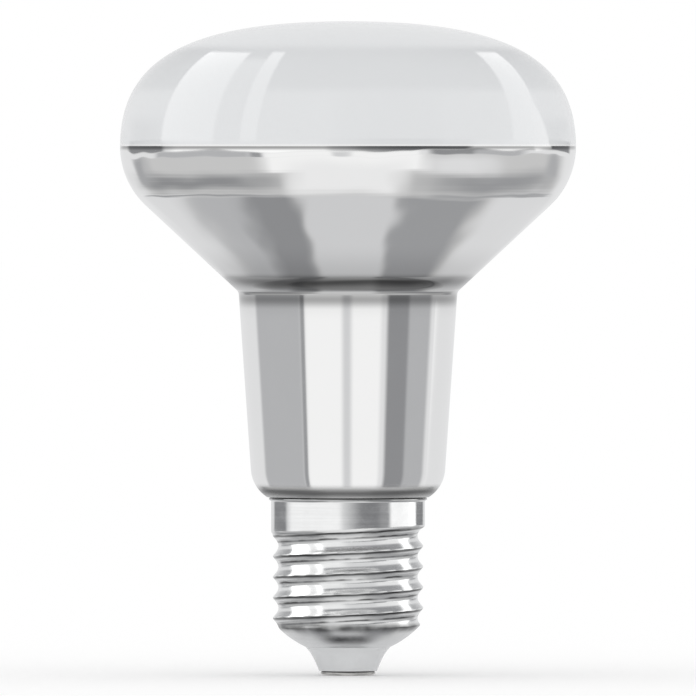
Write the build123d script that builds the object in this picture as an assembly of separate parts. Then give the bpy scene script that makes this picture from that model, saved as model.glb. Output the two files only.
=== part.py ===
from build123d import *
import os
from math import asin, atan2, cos, degrees, sin, sqrt

# Reflector bulb with an E27 screw cap, in millimetres.
# It stands on its centre contact: the axis is +Z and the origin is the middle of the contact's underside.
# Outlines are drawn as (radius, height) and turned about the axis.

# Glass bulb
head_diameter = 80.0          # widest place, at the edge of the mirror coat
front_height = 21.95          # edge of the mirror coat to the top of the frosted front
front_radius = 100.0          # the flat middle of the front
shoulder_radius = 18.0        # rounding from the front into the widest place
reflector_height = 25.6       # corner of the neck to the edge of the mirror coat
rim_radius = 14.3             # rounding from the widest place into the cone
neck_height = 36.0            # mouth of the cap to the corner under the cone
neck_top_diameter = 38.4
neck_bottom_diameter = 34.1   # where the rounded end starts
neck_end_height = 4.8         # rounded lower end of the neck
neck_end_diameter = 28.4      # where that end meets the mouth of the cap
neck_corner_radius = 1.2

# Screw cap, pressed from sheet
sheet = 0.3
thread_diameter = 26.4        # over the crests
thread_depth = 1.1
thread_pitch = 3.62
thread_crest = 0.9            # width of the ridge at its crest
thread_foot = 2.6             # and where it rises from the root
thread_length = 16.5          # bowl to band
thread_start = 114.0          # where the crest lies at the foot of the thread, in degrees from +X
seam_turn = 40.0              # where the plain wall's turning starts, clear of the ridge's ends
run_out = 0.8                 # height of the step from the thread's root out to the band
thread_end_gap = 0.2          # plain wall between the end of the ridge and that step
band_diameter = 27.0
band_height = 5.4
lip_height = 0.9
lip_diameter = 27.8
bowl_height = 4.4
hole_diameter = 14.8          # hole in the bottom of the bowl

# Insulator, moulded in one piece with the flange that holds it in the bowl
insulator_height = 4.2        # what shows below the bowl
insulator_tip_diameter = 10.3
insulator_waist_diameter = 12.2
insulator_waist_height = 2.6  # of the waist above the tip
flange_diameter = 19.0
flange_top = 3.2              # above the hole

# Centre contact, a flat-headed rivet
contact_thickness = 0.8
contact_diameter = 9.6
contact_chamfer = 0.35
stem_diameter = 3.0
stem_length = 8.4
stem_chamfer = 0.3

fit = 0.05                    # room between pieces that slide together

# Levels up the axis
hole_level = contact_thickness + insulator_height
bowl_top = hole_level + bowl_height
band_bottom = bowl_top + thread_length
mouth = band_bottom + band_height
neck_top = mouth + neck_height
mirror_edge = neck_top + reflector_height
crown = mirror_edge + front_height

# Radii that the pieces share
head_radius = head_diameter / 2
crest_radius = thread_diameter / 2
root_radius = crest_radius - thread_depth
band_radius = band_diameter / 2
band_bore = band_radius - sheet
hole_radius = hole_diameter / 2
shell_bore = root_radius - sheet

# The bowl is part of a ball, centred on the axis, through the rim of the hole and the foot of the thread
ball_level = (crest_radius ** 2 - hole_radius ** 2 + bowl_top ** 2 - hole_level ** 2) / bowl_height / 2
ball_radius = sqrt(hole_radius ** 2 + (ball_level - hole_level) ** 2)


def turned(outline):
    """Turns a closed outline of (radius, height) about the lamp's axis."""
    return revolve(Plane.XZ * make_face(outline), Axis.Z).solid()


def rounded(outline, corner, radius):
    """Rounds the corner of a closed outline that lies nearest to the given point."""
    face = make_face(outline)
    vertex = face.vertices().sort_by_distance(Vector(*corner))[0]
    return fillet(vertex, radius).edges()


def bowl_level(radius, depth):
    """Height of the bowl at a radius, on the face that lies the given depth inside its outer one."""
    return ball_level - sqrt((ball_radius - depth) ** 2 - radius ** 2)


def bowl_arc(inner, outer, depth):
    """Arc of the bowl between two radii, the given depth inside its outer face."""
    radii = (inner, (inner + outer) / 2, outer)
    return ThreePointArc(*((radius, bowl_level(radius, depth)) for radius in radii))


def seat_level(radius):
    """Height of the straight cone inside the bowl, where the flange of the insulator lies."""
    low = bowl_level(hole_radius, sheet)
    rise = bowl_level(shell_bore, sheet) - low
    return low + rise * (radius - hole_radius) / (shell_bore - hole_radius)


def glass_bulb():
    """The sealed bulb, blown in one piece, with the spigot that sits in the mouth of the cap."""
    spigot_radius = band_bore - fit
    spigot_bottom = band_bottom + sheet
    neck_end = (neck_end_diameter / 2, mouth)
    neck_low = (neck_bottom_diameter / 2, mouth + neck_end_height)
    neck_corner = (neck_top_diameter / 2, neck_top)
    taper = Vector(*neck_low) - Vector(*neck_corner)

    # The cone runs from the neck's corner and touches the arc of the rim
    rim_middle = Vector(head_radius - rim_radius, mirror_edge)
    reach = rim_middle - Vector(*neck_corner)
    cone_angle = atan2(reach.X, reach.Y) + asin(rim_radius / reach.length)
    cone_top = rim_middle + Vector(cos(cone_angle), -sin(cone_angle)) * rim_radius
    rim = CenterArc(rim_middle, rim_radius, -degrees(cone_angle), degrees(cone_angle))

    # The arc of the front touches the arc of the shoulder, which ends upright
    front_middle = crown - front_radius
    across = head_radius - shoulder_radius
    up = sqrt((front_radius - shoulder_radius) ** 2 - across ** 2)
    front_angle = degrees(atan2(across, up))
    shoulder_level = front_middle + up
    front = CenterArc((0, front_middle), front_radius, 90 - front_angle, front_angle)
    shoulder = CenterArc((across, shoulder_level), shoulder_radius, 0, 90 - front_angle)

    outline = Curve() + [
        Polyline((0, crown), (0, spigot_bottom), (spigot_radius, spigot_bottom), (spigot_radius, mouth), neck_end),
        TangentArc(neck_low, neck_end, tangent=taper),
        Line(neck_low, neck_corner),
        Line(neck_corner, cone_top),
        rim,
        Line((head_radius, mirror_edge), (head_radius, shoulder_level)),
        shoulder,
        front,
    ]
    return turned(rounded(outline.edges(), neck_corner, neck_corner_radius))


def thread_ridge(low, high):
    """The ridge of the right-hand thread: its section, rooted in the wall, wound up the axis."""
    slope = (thread_foot - thread_crest) / 2 / thread_depth
    rooted = root_radius - sheet / 2
    foot = thread_foot / 2 + slope * sheet / 2
    crest = thread_crest / 2
    section = make_face(Polyline(
        (rooted, -foot),
        (crest_radius, -crest),
        (crest_radius, crest),
        (rooted, foot),
        close=True,
    ))
    path = Helix(thread_pitch, high - low, root_radius).edge()
    ridge = Solid.sweep((Plane.XZ * section).face(), path, is_frenet=True)
    turn = thread_start + 360 * (low - bowl_top) / thread_pitch
    return ridge.moved(Location((0, 0, low), (0, 0, turn)))


def screw_shell():
    """The pressed cap: bowl, rolled thread, a plain band that steps out above it, and a lip at the mouth."""
    lip_radius = lip_diameter / 2
    lip_slope = lip_radius - band_radius
    wall = turned(Curve() + [
        bowl_arc(hole_radius, root_radius, 0),
        Polyline(
            (root_radius, bowl_level(root_radius, 0)),
            (root_radius, band_bottom - run_out),
            (band_radius, band_bottom),
            (band_radius, mouth - lip_height),
            (lip_radius, mouth - lip_height + lip_slope),
            (lip_radius, mouth),
            (0, mouth),
            (0, hole_level),
            (hole_radius, hole_level),
        ),
    ]).rotate(Axis.Z, seam_turn)
    # The bowl cuts the lower end of the ridge away
    depth = sheet / 2
    room = turned(Curve() + [
        bowl_arc(hole_radius, band_radius, depth),
        Polyline((band_radius, bowl_level(band_radius, depth)), (band_radius, mouth), (0, mouth)),
        Polyline((0, mouth), (0, bowl_level(hole_radius, depth)), (hole_radius, bowl_level(hole_radius, depth))),
    ])
    ridge_end = band_bottom - run_out - thread_foot / 2 - thread_end_gap
    ridge = room & thread_ridge(bowl_top - thread_pitch / 2, ridge_end)
    inside = turned(Polyline(
        (0, hole_level),
        (hole_radius, hole_level),
        (hole_radius, seat_level(hole_radius)),
        (shell_bore, seat_level(shell_bore)),
        (shell_bore, band_bottom),
        (band_bore, band_bottom),
        (band_bore, mouth),
        (0, mouth),
        close=True,
    ))
    return wall + ridge - inside


def insulator():
    """The plastic foot: a waisted cone below the bowl and a flange that lies in it, with a hole for the rivet."""
    neck = hole_radius - fit
    flange = flange_diameter / 2
    bore = stem_diameter / 2 + fit
    top = hole_level + flange_top
    return turned(Polyline(
        (bore, contact_thickness),
        (insulator_tip_diameter / 2, contact_thickness),
        (insulator_waist_diameter / 2, contact_thickness + insulator_waist_height),
        (neck, hole_level),
        (neck, seat_level(hole_radius) + fit),
        (flange, seat_level(flange) + fit),
        (flange, top),
        (bore, top),
        close=True,
    ))


def centre_contact():
    """The rivet that carries the centre contact: a flat head with a broken edge, and its stem."""
    head = contact_diameter / 2
    stem = stem_diameter / 2
    stem_top = contact_thickness + stem_length
    return turned(Polyline(
        (0, 0),
        (head - contact_chamfer, 0),
        (head, contact_chamfer),
        (head, contact_thickness),
        (stem, contact_thickness),
        (stem, stem_top - stem_chamfer),
        (stem - stem_chamfer, stem_top),
        (0, stem_top),
        close=True,
    ))


os.makedirs("parts", exist_ok=True)
for make in (glass_bulb, screw_shell, insulator, centre_contact):
    export_step(make(), f"parts/{make.__name__}.step")
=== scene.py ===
"""Looks of the reflector bulb: frosted and mirrored glass, nickel screw cap, insulator and contact.

The axis of the bulb is +Z and the photograph looks along +Y. Shapes and levels are in millimetres, and the MM
factor takes them to the scene's metres.
"""
import math

import bpy
import numpy as np
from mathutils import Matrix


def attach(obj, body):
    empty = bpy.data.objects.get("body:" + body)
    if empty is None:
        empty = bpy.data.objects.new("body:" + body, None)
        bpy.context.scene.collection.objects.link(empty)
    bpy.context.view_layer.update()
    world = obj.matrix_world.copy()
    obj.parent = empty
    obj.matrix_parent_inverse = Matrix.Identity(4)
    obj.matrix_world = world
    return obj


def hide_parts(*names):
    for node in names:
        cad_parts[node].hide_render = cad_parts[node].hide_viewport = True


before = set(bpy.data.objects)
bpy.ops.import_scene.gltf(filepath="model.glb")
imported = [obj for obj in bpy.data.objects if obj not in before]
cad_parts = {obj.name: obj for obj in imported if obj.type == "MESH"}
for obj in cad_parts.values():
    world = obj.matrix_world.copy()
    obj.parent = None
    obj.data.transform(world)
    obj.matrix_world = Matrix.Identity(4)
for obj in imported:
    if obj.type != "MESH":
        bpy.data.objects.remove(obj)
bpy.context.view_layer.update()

MM = 0.001

# Levels up the axis, in millimetres
HOLE_LEVEL = 5.0
BOWL_TOP = 9.4
BAND_FOOT = 25.45
BAND_BOTTOM = 25.9
MOUTH = 31.3
NECK_LOW = 36.1
NECK_TOP = 67.3
MIRROR_EDGE = 92.9
CROWN = 114.78

# Radii, in millimetres
HEAD_RADIUS = 40.0
RIM_RADIUS = 14.3
NECK_TOP_RADIUS = 19.2
NECK_LOW_RADIUS = 17.05
NECK_END_RADIUS = 14.2
NECK_CORNER_RADIUS = 1.2
COAT_END = 33.4
MOUTH_TILT = math.radians(58.0)
SPIGOT_RADIUS = 13.15
SPIGOT_BOTTOM = 26.2
HOLE_RADIUS = 7.4
ROOT_RADIUS = 12.1
CREST_RADIUS = 13.2
BAND_RADIUS = 13.5
LIP_RADIUS = 13.9
BAND_BORE = 13.2
SHELL_BORE = 11.8

# Thread
THREAD_PITCH = 3.62
THREAD_START = math.radians(114.0)

# The bowl is part of a ball through the rim of the hole and the foot of the thread
BALL_SPREAD = CREST_RADIUS ** 2 - HOLE_RADIUS ** 2 + BOWL_TOP ** 2 - HOLE_LEVEL ** 2
BALL_LEVEL = BALL_SPREAD / (BOWL_TOP - HOLE_LEVEL) / 2
BALL_RADIUS = math.hypot(HOLE_RADIUS, BALL_LEVEL - HOLE_LEVEL)

# Photograph: pixel rows and columns of its 696 by 696 frame
FRAME_PIXELS = 696
MM_PER_PIXEL = 0.17544
BOTTOM_ROW = 675.5
CAMERA_DISTANCE = 3.5
SENSOR_WIDTH = 36.0


# Surfaces


def smoothstep(low, high, value):
    """Rises smoothly from 0 at low to 1 at high: 3 t squared less 2 t cubed of the share t of the way."""
    share = np.clip((value - low) / (high - low), 0.0, 1.0)
    return share * share * (3.0 - 2.0 * share)


def straight(start, end, count):
    """Points spaced evenly on the line from start to end, without the end."""
    share = np.linspace(0.0, 1.0, count, endpoint=False)[:, None]
    return np.array(start) + share * (np.array(end) - np.array(start))


def arc(middle, radius, start, end, count):
    """Points on a circle: middle plus radius times cosine and sine, between two angles in degrees."""
    angle = np.radians(np.linspace(start, end, count, endpoint=False))
    return np.array(middle) + radius * np.stack([np.cos(angle), np.sin(angle)], axis=1)


def bezier(points, count):
    """Cubic curve with four control points, each weighted by its power of the share t of the way."""
    t = np.linspace(0.0, 1.0, count, endpoint=False)[:, None]
    a, b, c, d = (np.array(point) for point in points)
    return a * (1 - t) ** 3 + b * 3 * t * (1 - t) ** 2 + c * 3 * t ** 2 * (1 - t) + d * t ** 3


def new_piece(name, vertices, faces):
    """Mesh object at the origin from vertices in millimetres, smooth but for its sharp corners."""
    mesh = bpy.data.meshes.new(name)
    mesh.from_pydata((vertices * MM).tolist(), [], faces)
    mesh.validate()
    mesh.shade_smooth()
    mesh.set_sharp_from_angle(angle=math.radians(38.0))
    piece = bpy.data.objects.new(name, mesh)
    bpy.context.scene.collection.objects.link(piece)
    return piece


def grid_faces(rows, columns, closed_rows):
    """Quads of a grid that closes round its columns, and round its rows where that is asked."""
    row = np.arange(rows if closed_rows else rows - 1)[:, None]
    column = np.arange(columns)[None, :]
    above = (row + 1) % rows
    beside = (column + 1) % columns
    corners = (
        row * columns + column,
        row * columns + beside,
        above * columns + beside,
        above * columns + column,
    )
    return np.stack(np.broadcast_arrays(*corners), axis=-1).reshape(-1, 4)


def turned_vertices(radius, height):
    """Grid of points x = r cos a, y = r sin a, z = h, with the angle a running along the columns."""
    angle = np.linspace(0.0, 2.0 * np.pi, radius.shape[1], endpoint=False)[None, :]
    height = np.broadcast_to(height, radius.shape)
    return np.stack([radius * np.cos(angle), radius * np.sin(angle), height], axis=-1).reshape(-1, 3)


def turned_solid(name, profile, segments):
    """Profile of (radius, height) carried round the axis from a pole at its start to a pole at its end."""
    inner = profile[1:-1]
    radius = np.repeat(inner[:, :1], segments, axis=1)
    vertices = turned_vertices(radius, inner[:, 1:])
    rows = len(inner)
    quads = grid_faces(rows, segments, False)[:, ::-1].tolist()
    column = np.arange(segments)
    beside = (column + 1) % segments
    first = rows * segments
    top = np.stack([np.full(segments, first), column, beside], axis=1).tolist()
    base = (rows - 1) * segments
    bottom = np.stack([np.full(segments, first + 1), base + beside, base + column], axis=1).tolist()
    poles = np.array([[0.0, 0.0, profile[0, 1]], [0.0, 0.0, profile[-1, 1]]])
    return new_piece(name, np.concatenate([vertices, poles]), quads + top + bottom)


def turned_ring(name, radius, height):
    """Closed outline carried round the axis; the radius may change with the angle too."""
    faces = grid_faces(radius.shape[0], radius.shape[1], True).tolist()
    return new_piece(name, turned_vertices(radius, height), faces)


def plain_ring(name, outline, segments):
    """Closed outline of (radius, height), the same at every angle, carried round the axis."""
    return turned_ring(name, np.repeat(outline[:, :1], segments, axis=1), outline[:, 1:])


def neck_corner():
    """Arc between neck and cone: its middle, angles and two ends, and the slope of the cone."""
    corner = np.array([NECK_TOP_RADIUS, NECK_TOP])
    down = np.array([NECK_LOW_RADIUS, NECK_LOW]) - corner
    down /= np.hypot(*down)
    rim_middle = np.array([HEAD_RADIUS - RIM_RADIUS, MIRROR_EDGE])
    reach = rim_middle - corner
    cone_angle = math.atan2(reach[0], reach[1]) + math.asin(RIM_RADIUS / np.hypot(*reach))
    up = np.array([math.sin(cone_angle), math.cos(cone_angle)])
    half = math.acos(np.clip(down @ up, -1.0, 1.0)) / 2
    bisector = (down + up) / np.hypot(*(down + up))
    middle = corner + bisector * NECK_CORNER_RADIUS / math.sin(half)
    on_neck = corner + down * NECK_CORNER_RADIUS / math.tan(half)
    on_cone = corner + up * NECK_CORNER_RADIUS / math.tan(half)
    angles = [math.degrees(math.atan2(*(point - middle)[::-1])) for point in (on_cone, on_neck)]
    return middle, [angle % 360.0 for angle in angles], on_cone, on_neck, cone_angle


def neck_end():
    """Arc from the neck, in line with it, to the mouth of the cap: its middle, radius and angles."""
    start = np.array([NECK_LOW_RADIUS, NECK_LOW])
    end = np.array([NECK_END_RADIUS, MOUTH])
    down = start - np.array([NECK_TOP_RADIUS, NECK_TOP])
    inward = np.array([down[1], -down[0]]) / np.hypot(*down)
    chord = end - start
    radius = (chord @ chord) / (2.0 * (chord @ inward))
    middle = start + inward * radius
    angles = [math.degrees(math.atan2(*(point - middle)[::-1])) for point in (start, end)]
    return middle, abs(radius), angles


def glass_profile():
    """Outline of the glass from the crown down: front curve, rim arc, cone, corner, neck, end arc, spigot."""
    corner_middle, corner_angles, on_cone, on_neck, cone_angle = neck_corner()
    end_middle, end_radius, end_angles = neck_end()
    rim_middle = (HEAD_RADIUS - RIM_RADIUS, MIRROR_EDGE)
    cone_top = (
        rim_middle[0] + RIM_RADIUS * math.cos(cone_angle),
        rim_middle[1] - RIM_RADIUS * math.sin(cone_angle),
    )
    front = ((0.0, CROWN), (25.8, CROWN), (HEAD_RADIUS, MIRROR_EDGE + 16.5), (HEAD_RADIUS, MIRROR_EDGE))
    return np.concatenate([
        bezier(front, 90),
        arc(rim_middle, RIM_RADIUS, 0.0, -math.degrees(cone_angle), 40),
        straight(cone_top, on_cone, 24),
        arc(corner_middle, NECK_CORNER_RADIUS, corner_angles[0], corner_angles[1], 10),
        straight(on_neck, (NECK_LOW_RADIUS, NECK_LOW), 20),
        arc(end_middle, end_radius, end_angles[0], end_angles[1], 18),
        straight((NECK_END_RADIUS, MOUTH), (SPIGOT_RADIUS, MOUTH), 2),
        straight((SPIGOT_RADIUS, MOUTH), (SPIGOT_RADIUS, SPIGOT_BOTTOM), 2),
        straight((SPIGOT_RADIUS, SPIGOT_BOTTOM), (0.0, SPIGOT_BOTTOM), 2),
        np.array([[0.0, SPIGOT_BOTTOM]]),
    ])


def shell_wall(angle, height):
    """Outer radius of the cap at an angle and height.

    Thread: root plus depth times 1 less the sine of half the turn since the crest, so that crests are
    narrow and roots are broad and round. It goes over to the band by a smooth step, which rises with the
    cosine of the angle so that it follows the crest on the front. The ball of the bowl cuts the thread off
    below by a smooth least value. The lip is a second smooth step.
    """
    crest = THREAD_START + 2.0 * np.pi * (height - BOWL_TOP) / THREAD_PITCH
    blunt = 0.1
    wave = 1.0 + blunt - np.sqrt(np.sin((angle - crest) / 2.0) ** 2 + blunt ** 2)
    thread = ROOT_RADIUS + (CREST_RADIUS - ROOT_RADIUS) * wave
    band_foot = BAND_FOOT + THREAD_PITCH / (2.0 * np.pi) * np.cos(angle)
    to_band = smoothstep(band_foot - 0.45, band_foot + 0.35, height)
    wall = thread + (BAND_RADIUS - thread) * to_band
    wall = wall + (LIP_RADIUS - BAND_RADIUS) * smoothstep(MOUTH - 0.7, MOUTH - 0.4, height)
    wall = wall - 0.25 * smoothstep(MOUTH - 0.3, MOUTH, height) ** 2
    ball = np.sqrt(np.maximum(BALL_RADIUS ** 2 - (BALL_LEVEL - height) ** 2, 0.0))
    ball = np.where(height > BOWL_TOP + 3.0, 2.0 * CREST_RADIUS, ball)
    blend = 0.35
    share = np.clip(0.5 + 0.5 * (wall - ball) / blend, 0.0, 1.0)
    return wall + (ball - wall) * share - blend * share * (1.0 - share)


def shell_piece():
    """Pressed cap: outer wall worked out at each angle and height, and a plain inner wall."""
    segments = 400
    angle = np.linspace(0.0, 2.0 * np.pi, segments, endpoint=False)[None, :]
    height = np.concatenate([
        np.linspace(HOLE_LEVEL, BOWL_TOP, 36, endpoint=False),
        np.linspace(BOWL_TOP, BAND_BOTTOM + 0.6, 120, endpoint=False),
        np.linspace(BAND_BOTTOM + 0.6, MOUTH - 1.0, 8, endpoint=False),
        np.linspace(MOUTH - 1.0, MOUTH, 18),
    ])[:, None]
    outer = shell_wall(angle, height)
    sheet = 0.3
    seat_low = BALL_LEVEL - math.sqrt((BALL_RADIUS - sheet) ** 2 - HOLE_RADIUS ** 2)
    seat_high = BALL_LEVEL - math.sqrt((BALL_RADIUS - sheet) ** 2 - SHELL_BORE ** 2)
    inner = np.array([
        (BAND_BORE, MOUTH),
        (BAND_BORE, BAND_BOTTOM),
        (SHELL_BORE, BAND_BOTTOM),
        (SHELL_BORE, seat_high),
        (HOLE_RADIUS, seat_low),
    ])
    radius = np.concatenate([outer, np.repeat(inner[:, :1], segments, axis=1)])
    outer_level = np.broadcast_to(height, outer.shape)
    level = np.concatenate([outer_level, np.repeat(inner[:, 1:], segments, axis=1)])
    return turned_ring("screw_cap_shell", radius, level)


def insulator_piece():
    """Plastic foot: a waisted curve from tip to bowl, then the hidden flange and the rivet hole."""
    waist = bezier(((5.14, 0.98), (5.75, 2.4), (6.3, 3.9), (7.35, 4.85)), 30)
    outline = np.concatenate([
        straight((1.55, 0.8), (4.94, 0.8), 4),
        arc((4.94, 1.0), 0.2, -90.0, -12.0, 6),
        waist,
        np.array([(7.35, 4.95), (7.35, 5.45), (9.5, 6.9), (9.5, 8.2), (1.55, 8.2)]),
    ])
    return plain_ring("insulator_foot", outline, 160)


def contact_piece():
    """Rivet with a flat head: the head's edge is a small arc, and a stem rises into the insulator."""
    profile = np.concatenate([
        np.array([[0.0, 9.2]]),
        np.array([[1.2, 9.2], [1.5, 8.9], [1.5, 0.8]]),
        straight((1.5, 0.8), (4.6, 0.8), 6),
        arc((4.5, 0.45), 0.3, 60.0, -90.0, 12),
        straight((4.5, 0.06), (3.6, 0.0), 4),
        straight((3.6, 0.0), (0.0, 0.0), 8),
        np.array([[0.0, 0.0]]),
    ])
    return turned_solid("contact_rivet", profile, 128)


# Materials


class Nodes:
    """Adds nodes to one tree and joins them, so that a material reads from its inputs to its shader."""

    def __init__(self, tree):
        self.tree = tree

    def add(self, kind, settings=None, **inputs):
        """New node with its settings and inputs; an input is a value or the socket that feeds it."""
        node = self.tree.nodes.new(kind)
        for key, value in (settings or {}).items():
            setattr(node, key, value)
        for key, value in inputs.items():
            self.feed(node.inputs[key.replace("_", " ")], value)
        return node

    def feed(self, socket, value):
        """Links a socket to an input, or sets the input's own value."""
        if isinstance(value, bpy.types.NodeSocket):
            self.tree.links.new(value, socket)
        else:
            socket.default_value = value

    def math(self, operation, first, second=0.0):
        """Plain sum of two numbers, such as ADD or MULTIPLY."""
        node = self.tree.nodes.new("ShaderNodeMath")
        node.operation = operation
        self.feed(node.inputs[0], first)
        self.feed(node.inputs[1], second)
        return node.outputs[0]

    def mix(self, share, first, second):
        """Goes from the first colour to the second by the share."""
        node = self.tree.nodes.new("ShaderNodeMix")
        node.data_type = "RGBA"
        self.feed(node.inputs[0], share)
        self.feed(node.inputs[6], first)
        self.feed(node.inputs[7], second)
        return node.outputs[2]

    def span(self, value, low, high, to_low=0.0, to_high=1.0, smooth=False):
        """Carries a value from one range to another, held at its ends."""
        kind = "SMOOTHSTEP" if smooth else "LINEAR"
        settings = {"interpolation_type": kind}
        node = self.add("ShaderNodeMapRange", settings, Value=value)
        for key, number in (("From Min", low), ("From Max", high), ("To Min", to_low), ("To Max", to_high)):
            self.feed(node.inputs[key], number)
        return node.outputs[0]


def new_group(name, inputs, outputs):
    """Shader node group with named inputs, each with its plain value, and named outputs."""
    group = bpy.data.node_groups.new(name, "ShaderNodeTree")
    for key, kind, value in inputs:
        socket = group.interface.new_socket(key, in_out="INPUT", socket_type=kind)
        if value is not None:
            socket.default_value = value
    for key, kind in outputs:
        group.interface.new_socket(key, in_out="OUTPUT", socket_type=kind)
    nodes = Nodes(group)
    return group, nodes, nodes.add("NodeGroupInput").outputs, nodes.add("NodeGroupOutput").inputs


def height_ring_group():
    """Mask that is 1 at one height on the piece and fades out over a half width above and below it."""
    group, nodes, given, result = new_group(
        "height ring",
        [
            ("Height", "NodeSocketFloat", 0.0),
            ("Centre", "NodeSocketFloat", 0.0),
            ("Half Width", "NodeSocketFloat", 0.001),
        ],
        [("Mask", "NodeSocketFloat")],
    )
    away = nodes.math("ABSOLUTE", nodes.math("SUBTRACT", given["Height"], given["Centre"]))
    mask = nodes.span(away, 0.0, given["Half Width"], 1.0, 0.0, smooth=True)
    nodes.feed(result["Mask"], mask)
    return group


def mottle_group():
    """Soft blotches at two scales, about nought on average, for colour and gloss that aren't even."""
    group, nodes, given, result = new_group(
        "mottle",
        [
            ("Place", "NodeSocketVector", None),
            ("Scale", "NodeSocketFloat", 100.0),
            ("Amount", "NodeSocketFloat", 0.1),
        ],
        [("Value", "NodeSocketFloat")],
    )
    broad = nodes.add("ShaderNodeTexNoise", Vector=given["Place"], Scale=given["Scale"], Detail=3.0)
    small_scale = nodes.math("MULTIPLY", given["Scale"], 6.3)
    small = nodes.add("ShaderNodeTexNoise", Vector=given["Place"], Scale=small_scale, Detail=2.0)
    both = nodes.math("ADD", broad.outputs["Fac"], nodes.math("MULTIPLY", small.outputs["Fac"], 0.4))
    value = nodes.math("MULTIPLY", nodes.math("SUBTRACT", both, 0.7), given["Amount"])
    nodes.feed(result["Value"], value)
    return group


def turning_lines_group():
    """Lines that run round the axis, as rolling leaves them: noise squeezed along the height."""
    group, nodes, given, result = new_group(
        "turning lines",
        [("Place", "NodeSocketVector", None), ("Lines", "NodeSocketFloat", 3000.0)],
        [("Value", "NodeSocketFloat")],
    )
    squeezed = nodes.add("ShaderNodeVectorMath", {"operation": "MULTIPLY"})
    nodes.feed(squeezed.inputs[0], given["Place"])
    squeezed.inputs[1].default_value = (0.02, 0.02, 1.0)
    lines = nodes.add("ShaderNodeTexNoise", Vector=squeezed.outputs[0], Scale=given["Lines"], Detail=3.0)
    nodes.feed(result["Value"], lines.outputs["Fac"])
    return group


def studio_panel_group():
    """Soft-edged panel in a map of turn and tilt in degrees, slanted in that map, as a mask from 0 to 1."""
    group, nodes, given, result = new_group(
        "studio panel",
        [
            ("Direction", "NodeSocketVector", None),
            ("Centre", "NodeSocketVector", None),
            ("Slant", "NodeSocketFloat", 0.0),
            ("Inner", "NodeSocketVector", None),
            ("Outer", "NodeSocketVector", None),
        ],
        [("Mask", "NodeSocketFloat")],
    )
    offset = nodes.add("ShaderNodeVectorMath", {"operation": "SUBTRACT"})
    nodes.feed(offset.inputs[0], given["Direction"])
    nodes.feed(offset.inputs[1], given["Centre"])
    about = {"rotation_type": "Z_AXIS"}
    turned = nodes.add("ShaderNodeVectorRotate", about, Vector=offset.outputs[0], Angle=given["Slant"])
    away = nodes.add("ShaderNodeVectorMath", {"operation": "ABSOLUTE"})
    nodes.feed(away.inputs[0], turned.outputs[0])
    smooth_vector = {"data_type": "FLOAT_VECTOR", "interpolation_type": "SMOOTHSTEP"}
    fall = nodes.add("ShaderNodeMapRange", smooth_vector)
    nodes.feed(fall.inputs[6], away.outputs[0])
    nodes.feed(fall.inputs[7], given["Inner"])
    nodes.feed(fall.inputs[8], given["Outer"])
    fall.inputs[9].default_value = (1.0, 1.0, 1.0)
    fall.inputs[10].default_value = (0.0, 0.0, 0.0)
    sides = nodes.add("ShaderNodeSeparateXYZ", Vector=fall.outputs[1])
    nodes.feed(result["Mask"], nodes.math("MULTIPLY", sides.outputs[0], sides.outputs[1]))
    return group


HEIGHT_RING = height_ring_group()
MOTTLE = mottle_group()
TURNING_LINES = turning_lines_group()
STUDIO_PANEL = studio_panel_group()


def new_material(name):
    """Empty node material: returns it, its nodes, its shader and the object coordinates."""
    material = bpy.data.materials.new(name)
    material.use_nodes = True
    tree = material.node_tree
    tree.nodes.clear()
    nodes = Nodes(tree)
    shader = nodes.add("ShaderNodeBsdfPrincipled")
    nodes.add("ShaderNodeOutputMaterial", Surface=shader.outputs[0])
    place = nodes.add("ShaderNodeTexCoord").outputs["Object"]
    return material, nodes, shader, place


def ring_mask(nodes, height, centre_mm, half_width_mm):
    """Height ring placed in a material, with its values in millimetres."""
    ring = nodes.add("ShaderNodeGroup", {"node_tree": HEIGHT_RING}, Height=height)
    ring.inputs["Centre"].default_value = centre_mm * MM
    ring.inputs["Half Width"].default_value = half_width_mm * MM
    return ring.outputs[0]


def mottle_value(nodes, place, scale, amount):
    """Mottle placed in a material."""
    mottle = nodes.add("ShaderNodeGroup", {"node_tree": MOTTLE}, Place=place, Scale=scale, Amount=amount)
    return mottle.outputs[0]


def grey(level, tint=(1.0, 1.0, 1.0)):
    """Colour of one level with a slight tint."""
    return tuple(level * part for part in tint) + (1.0,)


def frosted_front():
    """Etched glass under a clear face: even pale grey with faint clouding, and a painted highlight as a
    bright line along the edge of the mirror.

    Both faces of the glass reflect, so the coat that stands for them has a higher index than one face.
    """
    material, nodes, shader, place = new_material("frosted front")
    height = nodes.add("ShaderNodeSeparateXYZ", Vector=place).outputs[2]
    clouding = mottle_value(nodes, place, 45.0, 0.5)
    share = nodes.math("ADD", clouding, 0.5)
    colour = nodes.mix(share, grey(0.72, (0.985, 1.0, 1.015)), grey(0.76, (0.985, 1.0, 1.015)))
    # painted highlight: a lighter ring just above the edge of the mirror coat
    edge = ring_mask(nodes, height, MIRROR_EDGE + 0.12, 0.3)
    colour = nodes.mix(edge, colour, grey(0.86))
    nodes.feed(shader.inputs["Base Color"], colour)
    nodes.feed(shader.inputs["Roughness"], nodes.math("ADD", mottle_value(nodes, place, 90.0, 0.2), 0.5))
    shader.inputs["Specular IOR Level"].default_value = 0.2
    shader.inputs["Coat Weight"].default_value = 1.0
    shader.inputs["Coat Roughness"].default_value = 0.03
    shader.inputs["Coat IOR"].default_value = 1.7
    etched = nodes.add("ShaderNodeTexNoise", Vector=place, Scale=2600.0, Detail=3.0)
    bump = nodes.add("ShaderNodeBump", Strength=0.25, Distance=0.00004, Height=etched.outputs["Fac"])
    nodes.feed(shader.inputs["Normal"], bump.outputs[0])
    return material
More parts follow.
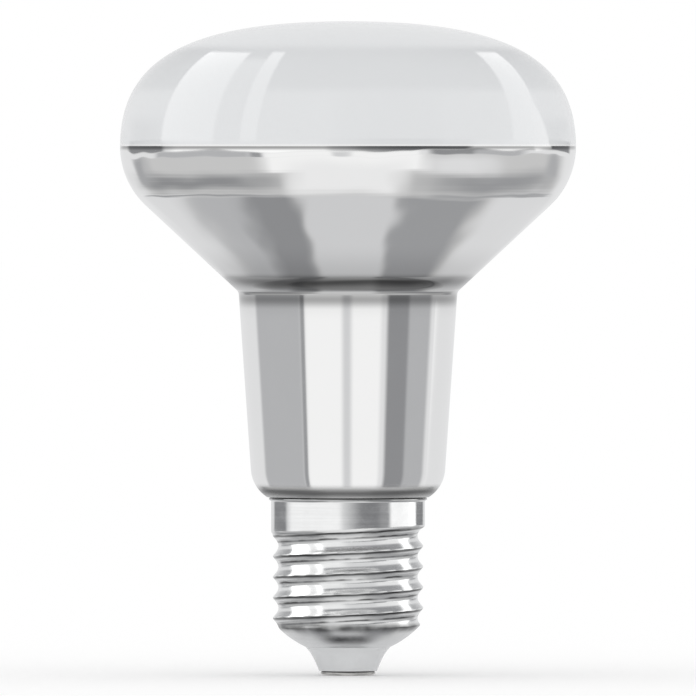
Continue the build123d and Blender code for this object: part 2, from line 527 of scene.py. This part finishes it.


# Painted shade and reflection on the mirror coat, as dark rings: height and half width in millimetres, cover,
# level
COAT_SHADE_RINGS = [
    # painted dark line of reflection at the edge of the coat
    (MIRROR_EDGE - 0.25, 0.65, 1.0, 0.32),
    # painted shade over the foot of the cone, and a darker painted line in its crease
    (NECK_TOP + 1.8, 7.0, 0.45, 0.4),
    (NECK_TOP + 1.8, 1.7, 1.0, 0.14),
    # painted shade at the top and the lower end of the neck
    (NECK_TOP - 1.2, 1.9, 0.75, 0.25),
    (MOUTH + 0.9, 1.7, 1.0, 0.16),
]


def mirror_coat():
    """Silver coat behind clear blown glass: bright metal, gently wavy, with painted shade as grey rings at
    its edges and crease.
    """
    material, nodes, shader, place = new_material("mirror coat")
    height = nodes.add("ShaderNodeSeparateXYZ", Vector=place).outputs[2]
    haze = nodes.math("ADD", mottle_value(nodes, place, 60.0, 0.5), 0.5)
    colour = nodes.mix(haze, grey(0.86, (1.0, 1.0, 0.995)), grey(0.90))
    # painted shade and reflection: the coat is darkened ring by ring
    for centre, half_width, cover, level in COAT_SHADE_RINGS:
        ring = nodes.math("MULTIPLY", ring_mask(nodes, height, centre, half_width), cover)
        colour = nodes.mix(ring, colour, grey(level))
    nodes.feed(shader.inputs["Base Color"], colour)
    thin_coat = ring_mask(nodes, height, MOUTH + 0.6, 2.2)
    nodes.feed(shader.inputs["Metallic"], nodes.span(thin_coat, 0.0, 1.0, 1.0, 0.55))
    smear = nodes.math("ADD", mottle_value(nodes, place, 120.0, 0.06), 0.06)
    thin_dull = nodes.math("MULTIPLY", thin_coat, 0.2)
    nodes.feed(shader.inputs["Roughness"], nodes.math("ADD", smear, thin_dull))
    wave = nodes.add("ShaderNodeTexNoise", Vector=place, Scale=48.0, Detail=2.0, Roughness=0.36)
    rings = nodes.add("ShaderNodeGroup", {"node_tree": TURNING_LINES}, Place=place, Lines=330.0).outputs[0]
    ringed = nodes.math("MULTIPLY", rings, ring_mask(nodes, height, NECK_TOP + 17.0, 9.0))
    uneven = nodes.math("ADD", wave.outputs["Fac"], nodes.math("MULTIPLY", ringed, 0.1))
    blown = nodes.span(height, NECK_TOP * MM, (NECK_TOP + 3.0) * MM, 0.03, 1.0, smooth=True)
    wavy = nodes.math("MULTIPLY", uneven, blown)
    bump = nodes.add("ShaderNodeBump", Strength=1.0, Distance=0.0014, Height=wavy)
    nodes.feed(shader.inputs["Normal"], bump.outputs[0])
    return material


# Painted shade on the thread, as dark lines: place as a share of a turn since the crest, half width, least
# and most cover, level
THREAD_SHADE_LINES = [
    (0.07, 0.105, 0.8, 1.0, 0.03),
    (0.33, 0.08, 0.1, 1.0, 0.12),
]


def paint_thread_shade(nodes, place, colour):
    """Painted shade: dark lines under each crest and lower on the flank, in the corner under the thread and
    at the lip.

    A place on the thread is given by the share of a turn since the crest: angle less the crest's angle at
    that height, over a whole turn, without its whole part. It is 0 on a crest and grows downwards.
    """
    parts = nodes.add("ShaderNodeSeparateXYZ", Vector=place).outputs
    turns = nodes.math("DIVIDE", nodes.math("ARCTAN2", parts[1], parts[0]), 2.0 * math.pi)
    rise = nodes.math("DIVIDE", parts[2], THREAD_PITCH * MM)
    crest_turns = THREAD_START / (2.0 * math.pi) - BOWL_TOP / THREAD_PITCH
    since = nodes.math("FRACT", nodes.math("SUBTRACT", nodes.math("SUBTRACT", turns, rise), crest_turns))
    below_band = nodes.span(parts[2], (BAND_BOTTOM + 0.2) * MM, (BAND_BOTTOM + 0.5) * MM, 1.0, 0.0)
    above_bowl = nodes.span(parts[2], (BOWL_TOP - 1.0) * MM, (BOWL_TOP - 0.2) * MM)
    on_thread = nodes.math("MULTIPLY", below_band, above_bowl)
    patches = nodes.add("ShaderNodeTexNoise", Vector=place, Scale=260.0, Detail=2.0).outputs["Fac"]
    strayed = nodes.math("ADD", since, nodes.math("MULTIPLY", nodes.math("SUBTRACT", patches, 0.5), 0.1))
    # painted shade and reflection: dark lines along the thread
    for share, half_width, low, high, level in THREAD_SHADE_LINES:
        away = nodes.math("ABSOLUTE", nodes.math("SUBTRACT", strayed, share))
        line = nodes.math("MULTIPLY", nodes.span(away, 0.0, half_width, 1.0, 0.0, smooth=True), on_thread)
        line = nodes.math("MULTIPLY", line, nodes.span(patches, 0.35, 0.6, low, high))
        colour = nodes.mix(line, colour, grey(level))
    # painted shade in the corner under the last turn of the thread
    shade_under_thread = ring_mask(nodes, parts[2], BOWL_TOP - 0.9, 1.2)
    shade_under_thread = nodes.math("MULTIPLY", shade_under_thread, nodes.span(patches, 0.3, 0.6, 0.5, 1.0))
    colour = nodes.mix(shade_under_thread, colour, grey(0.1))
    # painted shade at the lip, in the gap below the glass
    return nodes.mix(ring_mask(nodes, parts[2], MOUTH - 0.05, 0.6), colour, grey(0.12))


def paint_head_shade(nodes, place, colour):
    """Painted shade: a dark ring where the rivet's head meets the foot."""
    height = nodes.add("ShaderNodeSeparateXYZ", Vector=place).outputs[2]
    # painted shade on the edge of the head, next to the foot
    return nodes.mix(ring_mask(nodes, height, 0.9, 0.8), colour, grey(0.12))


def plated_metal(name, level, tint, roughness, lines, painted_shade):
    """Plated pressed metal: rolled lines, dull patches, small dents, and the painted shade of its piece.

    The roughness is given for the smooth band at the top and grows on the thread and further on the bowl.
    """
    material, nodes, shader, place = new_material(name)
    height = nodes.add("ShaderNodeSeparateXYZ", Vector=place).outputs[2]
    on_thread = nodes.span(height, (BAND_FOOT - 1.0) * MM, BAND_FOOT * MM, 0.06, 0.0)
    on_bowl = nodes.span(height, (BOWL_TOP - 1.5) * MM, BOWL_TOP * MM, 0.03, 0.0)
    worn = nodes.math("ADD", nodes.math("ADD", on_thread, on_bowl), roughness)
    rolled = nodes.add("ShaderNodeGroup", {"node_tree": TURNING_LINES}, Place=place, Lines=lines).outputs[0]
    patch = mottle_value(nodes, place, 160.0, 0.8)
    share = nodes.math("ADD", patch, rolled)
    colour = nodes.mix(share, grey(level * 0.9, tint), grey(level * 1.06, tint))
    # painted shade of the piece, laid over its colour
    nodes.feed(shader.inputs["Base Color"], painted_shade(nodes, place, colour))
    shader.inputs["Metallic"].default_value = 1.0
    dull = nodes.math("ADD", mottle_value(nodes, place, 260.0, 0.2), worn)
    dull = nodes.math("ADD", dull, nodes.math("MULTIPLY", nodes.math("SUBTRACT", rolled, 0.5), 0.1))
    nodes.feed(shader.inputs["Roughness"], dull)
    dents = nodes.add("ShaderNodeTexNoise", Vector=place, Scale=190.0, Detail=1.0)
    uneven = nodes.math("ADD", dents.outputs["Fac"], nodes.math("MULTIPLY", rolled, 0.04))
    bump = nodes.add("ShaderNodeBump", Strength=1.0, Distance=0.00003, Height=uneven)
    nodes.feed(shader.inputs["Normal"], bump.outputs[0])
    return material


def foot_plastic():
    """Glossy off-white moulding with faint clouding and a slightly uneven skin."""
    material, nodes, shader, place = new_material("foot plastic")
    share = nodes.math("ADD", mottle_value(nodes, place, 220.0, 0.7), 0.5)
    colour = nodes.mix(share, grey(0.68, (0.99, 1.0, 1.01)), grey(0.78, (0.99, 1.0, 1.01)))
    nodes.feed(shader.inputs["Base Color"], colour)
    nodes.feed(shader.inputs["Roughness"], nodes.math("ADD", mottle_value(nodes, place, 300.0, 0.15), 0.22))
    skin = nodes.add("ShaderNodeTexNoise", Vector=place, Scale=500.0, Detail=2.0)
    bump = nodes.add("ShaderNodeBump", Strength=1.0, Distance=0.00002, Height=skin.outputs["Fac"])
    nodes.feed(shader.inputs["Normal"], bump.outputs[0])
    return material


def floor_white():
    """Plain white floor that shows the shadow, and is clear to a view from below."""
    material, nodes, shader, _ = new_material("floor white")
    shader.inputs["Base Color"].default_value = grey(1.0)
    shader.inputs["Roughness"].default_value = 1.0
    shader.inputs["Specular IOR Level"].default_value = 0.0
    below = nodes.add("ShaderNodeNewGeometry").outputs["Backfacing"]
    either = nodes.add("ShaderNodeMixShader", Fac=below)
    nodes.feed(either.inputs[1], shader.outputs[0])
    nodes.feed(either.inputs[2], nodes.add("ShaderNodeBsdfTransparent").outputs[0])
    nodes.feed(nodes.tree.get_output_node("ALL").inputs["Surface"], either.outputs[0])
    return material


# Studio: each panel is (turn, tilt, slant, half width, half height, soft edge across, soft edge up, level).
# Turn and tilt, in degrees, are those of a small mirror at the bulb that shows the panel along the line of
# sight: turn 0 faces the front and grows to its right, tilt grows upwards. A later panel lies over an
# earlier one.
SIGHT_DOWN = math.radians(0.9)
PANELS = [
    # upper half: even grey, white sides and a darker patch overhead
    (0, 45, 0, 100, 45, 1, 2, 0.85),
    (-27, 15, 0, 24, 13, 4, 3, 1.05),
    (46, 15, 0, 12, 13, 3, 3, 1.05),
    (0, 47, 0, 70, 17, 20, 4, 0.38),
    (-31, 40, 0, 7, 14, 3, 3, 1.0),
    (-64, 6, 0, 9, 6, 4, 4, 0.6),
    (67, 6, 0, 8, 6, 4, 4, 0.6),
    # rim and cone
    (-80, -22, 0, 11, 30, 5, 6, 0.82),
    (82, -22, 0, 12, 30, 5, 6, 0.82),
    (-62, -42, 0, 14, 9, 6, 4, 0.76),
    (62, -42, 0, 15, 9, 5, 4, 0.76),
    (-46, -24, 3, 24, 6, 13, 5.5, 0.3),
    (43, -26.5, -2, 21, 7, 14, 6.5, 0.35),
    (-34, -46, 0, 15, 8, 12, 3, 0.5),
    (-23, -46, 0, 8, 8, 4, 3, 0.3),
    (27, -46, 0, 15, 8, 6, 3, 0.36),
    (-47, -35.5, 2, 25, 1.3, 8, 0.9, 0.36),
    (46, -36, -2, 23, 1.3, 8, 0.9, 0.4),
    (30, -13, 0, 11, 6, 8, 4, 0.8),
    (-2, -9, 0, 22, 8, 3, 2, 1.0),
    (-1, -23, 0, 15.5, 13, 4, 6, 0.92),
    (0, -47, 0, 14, 9, 2.5, 3, 0.67),
    (-67, -14, 0, 4, 10, 3.5, 5, 0.42),
    (65, -14, 0, 4, 10, 3.5, 5, 0.46),
    # bowl of the cap
    (0, -62, 0, 100, 10, 1, 1.5, 0.7),
    (0, -55.5, 0, 25, 4.2, 14, 2.2, 0.05),
    # neck
    (0, -4.0, 0, 100, 1.5, 1, 0.4, 0.82),
    (-42, -4.0, 0, 16, 1.5, 2, 0.4, 0.5),
    (37, -4.0, 0, 13, 1.5, 2, 0.4, 0.49),
    (28, -4.0, 0, 6.5, 1.5, 1.5, 0.4, 0.3),
    (-2.8, -4.0, 0, 20.8, 1.5, 1.5, 0.4, 1.0),
    (-25.2, -4.0, 0, 1.2, 1.5, 0.7, 0.4, 0.35),
    (-0.6, -4.0, 0, 2.4, 1.5, 1.8, 0.4, 0.7),
    # band of the cap and roots of its thread
    (0, 0.6, 0, 100, 2.6, 1, 0.3, 0.82),
    (-63, 0.6, 0, 10, 2.6, 2, 0.3, 0.28),
    (-27, 0.6, 0, 22, 2.6, 3, 0.3, 1.1),
    (24, 0.6, 0, 21, 2.6, 10, 0.3, 0.25),
    (44, 0.6, 0, 11, 2.6, 2, 0.3, 1.25),
    (66.5, 0.6, 0, 10, 2.6, 2, 0.3, 0.27),
    # tall strips beside the front
    (-44, 31, 3, 9.3, 29, 0.7, 1.5, 1.8),
    (-24.5, 31, 3, 2.3, 29, 0.5, 1.5, 1.75),
    (51.5, 31, 0, 5.3, 29, 0.7, 1.5, 1.6),
    (55.2, 9, -14, 4.5, 11, 0.7, 2, 1.6),
    (34, 14, 0, 10, 12, 3, 4, 1.0),
]


def panel_colour(level):
    """Grey of a panel, a little cooler where it is dark."""
    cool = 0.03 * max(0.0, 1.0 - level)
    return grey(level, (1.0 - cool, 1.0 - 0.5 * cool, 1.0 + cool))


def studio_world():
    """White for the camera, even light for dull surfaces, and soft panels for what mirrors and gloss show."""
    world = bpy.data.worlds.new("studio")
    world.use_nodes = True
    world.cycles.sampling_method = "NONE"
    bpy.context.scene.world = world
    tree = world.node_tree
    tree.nodes.clear()
    nodes = Nodes(tree)
    way = nodes.add("ShaderNodeTexCoord").outputs["Generated"]
    halfway = nodes.add("ShaderNodeVectorMath", {"operation": "SUBTRACT"})
    nodes.feed(halfway.inputs[0], way)
    halfway.inputs[1].default_value = (0.0, math.cos(SIGHT_DOWN), -math.sin(SIGHT_DOWN))
    facing = nodes.add("ShaderNodeVectorMath", {"operation": "NORMALIZE"})
    nodes.feed(facing.inputs[0], halfway.outputs[0])
    parts = nodes.add("ShaderNodeSeparateXYZ", Vector=facing.outputs[0]).outputs
    turn_about = nodes.math("ARCTAN2", parts[0], nodes.math("MULTIPLY", parts[1], -1.0))
    direction = nodes.add("ShaderNodeCombineXYZ")
    nodes.feed(direction.inputs[0], nodes.math("DEGREES", turn_about))
    nodes.feed(direction.inputs[1], nodes.math("DEGREES", nodes.math("ARCSINE", parts[2])))
    shown = grey(0.62)
    for turn, tilt, slant, half_width, half_height, soft_across, soft_up, level in PANELS:
        panel = nodes.add("ShaderNodeGroup", {"node_tree": STUDIO_PANEL}, Direction=direction.outputs[0])
        panel.inputs["Centre"].default_value = (turn, tilt, 0.0)
        panel.inputs["Slant"].default_value = math.radians(slant)
        panel.inputs["Inner"].default_value = (half_width - soft_across, half_height - soft_up, 0.0)
        panel.inputs["Outer"].default_value = (half_width + soft_across, half_height + soft_up, 1.0)
        shown = nodes.mix(panel.outputs[0], shown, panel_colour(level))
    ray = nodes.add("ShaderNodeLightPath").outputs
    glossy = nodes.math("MAXIMUM", ray["Is Glossy Ray"], ray["Is Transmission Ray"])
    colour = nodes.mix(glossy, grey(1.0), shown)
    background = nodes.add("ShaderNodeBackground", Color=colour, Strength=1.0)
    nodes.add("ShaderNodeOutputWorld", Surface=background.outputs[0])


def floor_piece():
    """Wide flat floor at the foot of the bulb, hidden from mirrors so that they show the studio's panels."""
    mesh = bpy.data.meshes.new("floor")
    reach = 12.0
    corners = [(-reach, -reach, 0.0), (reach, -reach, 0.0), (reach, reach, 0.0), (-reach, reach, 0.0)]
    mesh.from_pydata(corners, [], [(0, 1, 2, 3)])
    floor = bpy.data.objects.new("floor", mesh)
    bpy.context.scene.collection.objects.link(floor)
    mesh.materials.append(floor_white())
    floor.visible_glossy = False


def photograph_camera():
    """Camera level with the edge of the mirror, tilted down so that the middle of the frame is right."""
    data = bpy.data.cameras.new("photograph")
    data.sensor_width = SENSOR_WIDTH
    width = FRAME_PIXELS * MM_PER_PIXEL * MM
    data.lens = SENSOR_WIDTH * CAMERA_DISTANCE / width
    camera = bpy.data.objects.new("photograph", data)
    bpy.context.scene.collection.objects.link(camera)
    height = MIRROR_EDGE * MM
    middle = (BOTTOM_ROW - FRAME_PIXELS / 2) * MM_PER_PIXEL * MM
    camera.location = (0.0, -CAMERA_DISTANCE, height)
    camera.rotation_euler = (math.pi / 2 - math.atan2(height - middle, CAMERA_DISTANCE), 0.0, 0.0)
    bpy.context.scene.camera = camera


def finish_piece(piece, node, slot, *materials):
    """Gives a piece its materials, hangs it on the root body and hides the imported node it stands in for."""
    for material in materials:
        piece.data.materials.append(material)
    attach(piece, "root")
    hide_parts(node)


def straighten_neck_end(mesh):
    """Makes the shading of the neck's rounded end follow the coat on the inner face of the glass.

    That face runs straight on from the neck and turns in late: the normal keeps the neck's tilt down to the
    end of the coat, then tilts by a smooth step to the slope at the mouth.
    """
    place = np.empty(len(mesh.vertices) * 3)
    mesh.vertices.foreach_get("co", place)
    place = place.reshape(-1, 3) / MM
    radius = np.maximum(np.hypot(place[:, 0], place[:, 1]), 0.001)
    height = place[:, 2]
    neck_tilt = math.atan2(NECK_TOP_RADIUS - NECK_LOW_RADIUS, NECK_TOP - NECK_LOW)
    tilt = neck_tilt + (MOUTH_TILT - neck_tilt) * (1.0 - smoothstep(MOUTH, COAT_END, height))
    slope = np.cos(tilt) / radius
    normal = np.stack([place[:, 0] * slope, place[:, 1] * slope, -np.sin(tilt)], axis=1)
    rounded = (height > MOUTH + 0.01) & (height < NECK_LOW + 0.01)
    mesh.normals_split_custom_set_from_vertices(np.where(rounded[:, None], normal, 0.0))


def glass_piece():
    """Glass bulb: faces above the edge of the mirror are frosted, those below carry the mirror coat."""
    piece = turned_solid("blown_glass_bulb", glass_profile(), 256)
    finish_piece(piece, "glass_bulb", "glass", frosted_front(), mirror_coat())
    mesh = piece.data
    middle = np.empty(len(mesh.polygons) * 3)
    mesh.polygons.foreach_get("center", middle)
    mirrored = (middle.reshape(-1, 3)[:, 2] < MIRROR_EDGE * MM).astype(np.int32)
    mesh.polygons.foreach_set("material_index", mirrored)
    straighten_neck_end(mesh)


glass_piece()
nickel_plate = plated_metal("nickel plate", 0.80, (0.995, 1.0, 1.0), 0.11, 2600.0, paint_thread_shade)
finish_piece(shell_piece(), "screw_shell", "nickel", nickel_plate)
finish_piece(insulator_piece(), "insulator", "insulator", foot_plastic())
tinned_brass = plated_metal("tinned brass", 0.68, (1.0, 0.985, 0.96), 0.16, 1500.0, paint_head_shade)
finish_piece(contact_piece(), "centre_contact", "contact", tinned_brass)
floor_piece()
studio_world()
photograph_camera()
bpy.context.scene.view_settings.view_transform = "Standard"
